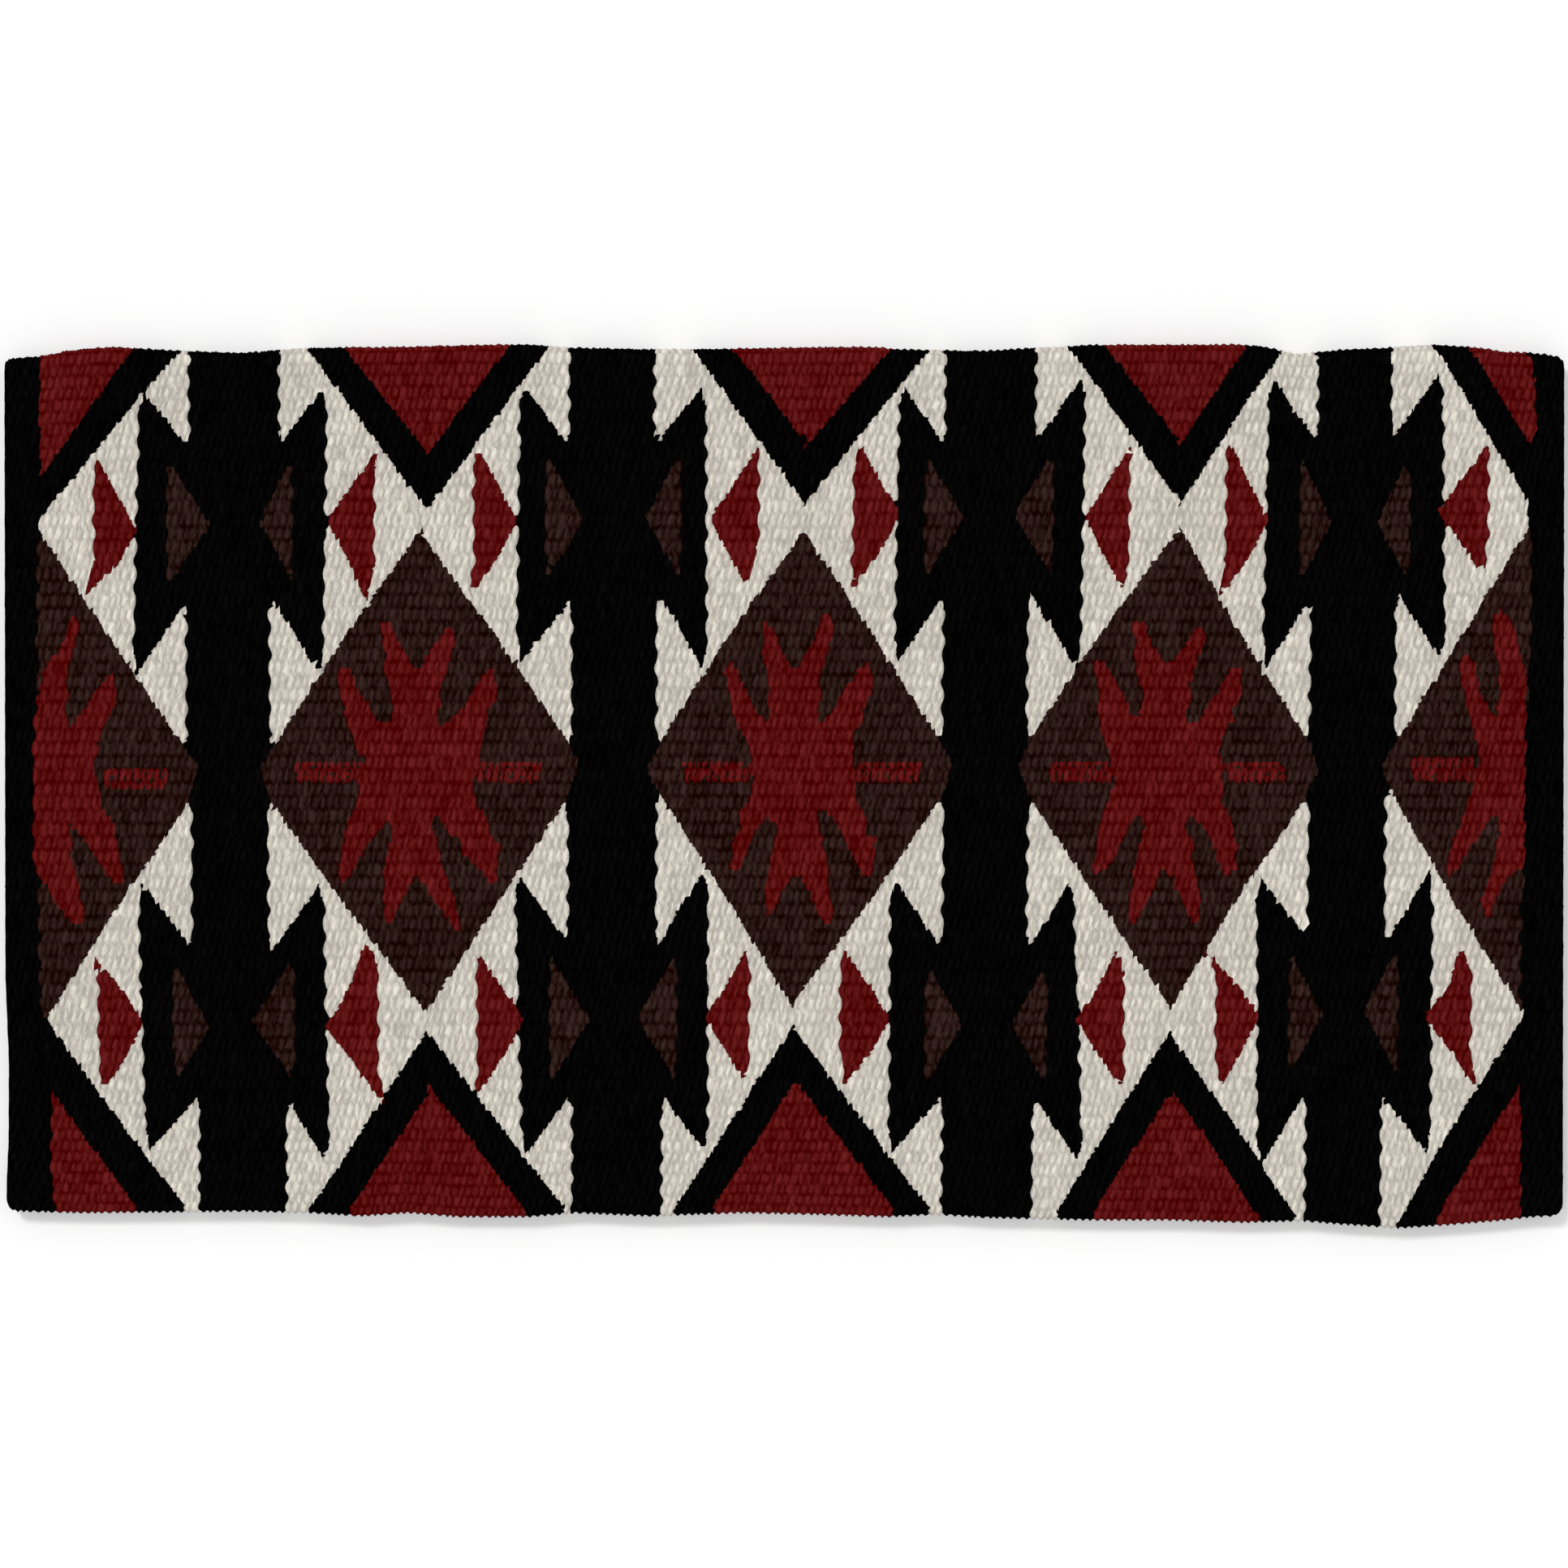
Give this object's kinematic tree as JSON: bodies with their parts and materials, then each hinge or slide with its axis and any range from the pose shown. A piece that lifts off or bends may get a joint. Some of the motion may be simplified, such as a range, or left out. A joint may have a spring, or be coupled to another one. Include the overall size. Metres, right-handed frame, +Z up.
{
  "type": "saddle blanket",
  "caption": "Thick hand-woven wool saddle blanket with a serrated diamond pattern, folded in half over its spine, with a spine of bending ribs that lets the upper leaf open out flat.",
  "frame": {"origin": "centre of the underside of the folded blanket, on the surface that it lies on", "axes": "+X along the spine to the right as the upper leaf is seen from above with the fold at the far side, +Y from the selvedges to the fold, +Z up"},
  "size_m": [0.8636, 0.482, 0.02],
  "materials": {
    "wool_black": "matt wool weft",
    "wool_white": "matt undyed wool weft",
    "wool_red": "matt dyed wool weft",
    "wool_brown": "matt brown wool weft"
  },
  "bodies": {
    "lower_leaf": {"lower_leaf": "wool_black"},
    "spine_rib_1": {"spine_rib_1": "wool_black"},
    "spine_rib_2": {"spine_rib_2": "wool_black"},
    "spine_rib_3": {"spine_rib_3": "wool_black"},
    "upper_leaf": {"brown_diamond_1": "wool_brown", "brown_diamond_2": "wool_brown", "brown_diamond_3": "wool_brown", "brown_diamond_4": "wool_brown", "brown_diamond_5": "wool_brown", "end_border_1": "wool_black", "end_border_5": "wool_black", "fold_band_2": "wool_black", "fold_band_3": "wool_black", "fold_band_4": "wool_black", "fold_red_1": "wool_red", "fold_red_2": "wool_red", "fold_red_3": "wool_red", "fold_red_4": "wool_red", "fold_red_5": "wool_red", "lower_lozenge_1_right": "wool_red", "lower_lozenge_2_left": "wool_red", "lower_lozenge_2_right": "wool_red", "lower_lozenge_3_left": "wool_red", "lower_lozenge_3_right": "wool_red", "lower_lozenge_4_left": "wool_red", "lower_lozenge_4_right": "wool_red", "lower_lozenge_5_left": "wool_red", "lower_white_1": "wool_white", "lower_white_2": "wool_white", "lower_white_3": "wool_white", "lower_white_4": "wool_white", "lower_white_5": "wool_white", "red_star_2": "wool_red", "red_star_3": "wool_red", "red_star_4": "wool_red", "selvedge_band_2": "wool_black", "selvedge_band_3": "wool_black", "selvedge_band_4": "wool_black", "selvedge_red_1": "wool_red", "selvedge_red_2": "wool_red", "selvedge_red_3": "wool_red", "selvedge_red_4": "wool_red", "selvedge_red_5": "wool_red", "spine_band_1": "wool_black", "spine_band_2": "wool_black", "spine_band_3": "wool_black", "spine_band_4": "wool_black", "upper_lozenge_1_right": "wool_red", "upper_lozenge_2_left": "wool_red", "upper_lozenge_2_right": "wool_red", "upper_lozenge_3_left": "wool_red", "upper_lozenge_3_right": "wool_red", "upper_lozenge_4_left": "wool_red", "upper_lozenge_4_right": "wool_red", "upper_lozenge_5_left": "wool_red", "upper_white_1": "wool_white", "upper_white_2": "wool_white", "upper_white_3": "wool_white", "upper_white_4": "wool_white", "upper_white_5": "wool_white"}
  },
  "joints": [
    {"name": "spine_fold_1", "type": "hinge", "parent": "lower_leaf", "child": "spine_rib_1", "pos_m": [0, 0.2336, 0.0035], "axis": [-1, 0, 0], "range_deg": [0, 45.17]},
    {"name": "spine_fold_2", "type": "hinge", "parent": "spine_rib_1", "child": "spine_rib_2", "pos_m": [0, 0.23741, 0.00733], "axis": [-1, 0, 0], "range_deg": [0, 45.17]},
    {"name": "spine_fold_3", "type": "hinge", "parent": "spine_rib_2", "child": "spine_rib_3", "pos_m": [0, 0.23738, 0.01273], "axis": [-1, 0, 0], "range_deg": [0, 45.17]},
    {"name": "spine_fold_4", "type": "hinge", "parent": "spine_rib_3", "child": "upper_leaf", "pos_m": [0, 0.23353, 0.01651], "axis": [-1, 0, 0], "range_deg": [0, 45.17]}
  ]
}
